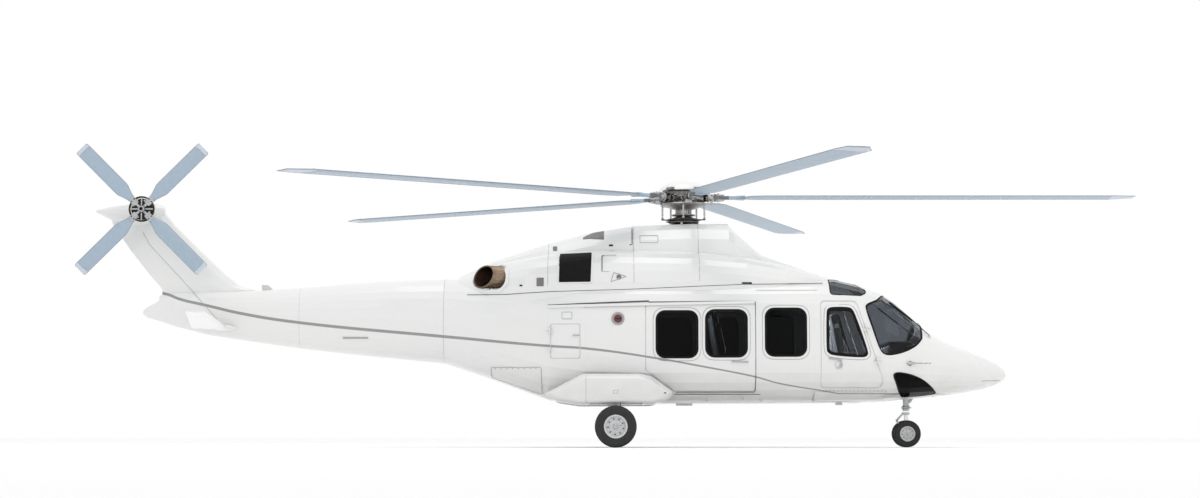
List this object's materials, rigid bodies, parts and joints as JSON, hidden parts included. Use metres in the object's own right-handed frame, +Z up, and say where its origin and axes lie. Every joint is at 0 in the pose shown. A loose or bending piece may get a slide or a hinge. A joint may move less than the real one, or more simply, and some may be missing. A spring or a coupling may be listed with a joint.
{
  "type": "twin-engined transport helicopter",
  "caption": "Twin-engined passenger helicopter with a five-bladed main rotor, a hollow cabin with doors and glazing, a finned tail boom and wheeled landing gear.",
  "frame": {"origin": "ground level under the middle of the length from rotor tip to rotor tip, on the plane of symmetry", "axes": "+X to the nose, +Y to the port side, +Z up; z = 0 is the ground that the wheels stand on"},
  "size_m": [15.6599, 12.8369, 4.4599],
  "materials": {
    "airframe_paint": "gloss white paint on aluminium",
    "composite_paint": "gloss white paint on composite",
    "blade_paint": "satin blue-grey paint on composite",
    "gear_steel": "machined steel",
    "exhaust_steel": "heat-tinted steel",
    "engine_alloy": "cast alloy",
    "glazing": "tinted acrylic",
    "tyre": "black rubber",
    "seat_leather": "grey leather over foam",
    "panel": "matt black"
  },
  "bodies": {
    "airframe": {"cabin_door_left": "airframe_paint", "cabin_door_right": "airframe_paint", "cabin_seat_1": "seat_leather", "cabin_seat_2": "seat_leather", "cabin_shell": "airframe_paint", "cabin_window_left": "glazing", "cabin_window_right": "glazing", "chin_window_left": "glazing", "chin_window_right": "glazing", "cockpit_shell": "airframe_paint", "crew_seat_left": "seat_leather", "crew_seat_right": "seat_leather", "door_rail_left": "airframe_paint", "door_rail_right": "airframe_paint", "door_window_aft_left": "glazing", "door_window_aft_right": "glazing", "door_window_forward_left": "glazing", "door_window_forward_right": "glazing", "engine_cowling": "composite_paint", "exhaust_left": "exhaust_steel", "exhaust_right": "exhaust_steel", "eyebrow_window_left": "glazing", "eyebrow_window_right": "glazing", "instrument_panel": "panel", "main_gear_leg_left": "gear_steel", "main_gear_leg_right": "gear_steel", "mast_fairing": "composite_paint", "nose_cone": "composite_paint", "nose_gear_leg": "gear_steel", "powerplant": "engine_alloy", "rear_fuselage": "airframe_paint", "sponson_left": "composite_paint", "sponson_right": "composite_paint", "stabiliser_left": "composite_paint", "stabiliser_right": "composite_paint", "swashplate": "gear_steel", "tail_boom": "composite_paint", "windshield_left": "glazing", "windshield_right": "glazing"},
    "main_rotor": {"rotor_hub": "gear_steel", "hub_cap": "composite_paint", "rotor_blade_1": "blade_paint", "rotor_blade_2": "blade_paint", "rotor_blade_3": "blade_paint", "rotor_blade_4": "blade_paint", "rotor_blade_5": "blade_paint"},
    "tail_rotor": {"tail_rotor": "blade_paint"},
    "nose_fork": {"nose_gear_fork": "gear_steel"},
    "nose_wheels": {"nose_wheels": "tyre"},
    "main_wheel_right": {"main_wheel_right": "tyre"},
    "crew_door_right": {"crew_door_right": "airframe_paint", "crew_door_window_right": "glazing"},
    "baggage_door_right": {"baggage_door_right": "airframe_paint"},
    "main_wheel_left": {"main_wheel_left": "tyre"},
    "crew_door_left": {"crew_door_left": "airframe_paint", "crew_door_window_left": "glazing"},
    "baggage_door_left": {"baggage_door_left": "airframe_paint"}
  },
  "joints": [
    {"name": "main_rotor_spin", "type": "hinge", "parent": "airframe", "child": "main_rotor", "pos_m": [1.1, 0, 3.72], "axis": [0, 0, 1], "continuous": true},
    {"name": "tail_rotor_spin", "type": "hinge", "parent": "airframe", "child": "tail_rotor", "pos_m": [-6.9, -0.55, 3.5], "axis": [0, 1, 0], "continuous": true},
    {"name": "nose_steering", "type": "hinge", "parent": "airframe", "child": "nose_fork", "pos_m": [4.4, 0, 0.5], "axis": [0, 0, 1], "range_deg": [-60, 60]},
    {"name": "nose_wheel_spin", "type": "hinge", "parent": "nose_fork", "child": "nose_wheels", "pos_m": [4.4, 0, 0.2], "axis": [0, 1, 0], "continuous": true},
    {"name": "main_wheel_right_spin", "type": "hinge", "parent": "airframe", "child": "main_wheel_right", "pos_m": [0.075, -1.52, 0.3], "axis": [0, 1, 0], "continuous": true},
    {"name": "crew_door_right_hinge", "type": "hinge", "parent": "airframe", "child": "crew_door_right", "pos_m": [3.9, -1.08008, 1.15], "axis": [-0.3185, 0, 0.9479], "range_deg": [0, 75]},
    {"name": "baggage_door_right_hinge", "type": "hinge", "parent": "airframe", "child": "baggage_door_right", "pos_m": [-0.878, -1.00792, 1.33], "axis": [0, 0, -1], "range_deg": [0, 110]},
    {"name": "main_wheel_left_spin", "type": "hinge", "parent": "airframe", "child": "main_wheel_left", "pos_m": [0.075, 1.52, 0.3], "axis": [0, 1, 0], "continuous": true},
    {"name": "crew_door_left_hinge", "type": "hinge", "parent": "airframe", "child": "crew_door_left", "pos_m": [3.9, 1.08008, 1.15], "axis": [0.3185, 0, -0.9479], "range_deg": [0, 75]},
    {"name": "baggage_door_left_hinge", "type": "hinge", "parent": "airframe", "child": "baggage_door_left", "pos_m": [-0.878, 1.00792, 1.33], "axis": [0, 0, 1], "range_deg": [0, 110]}
  ]
}
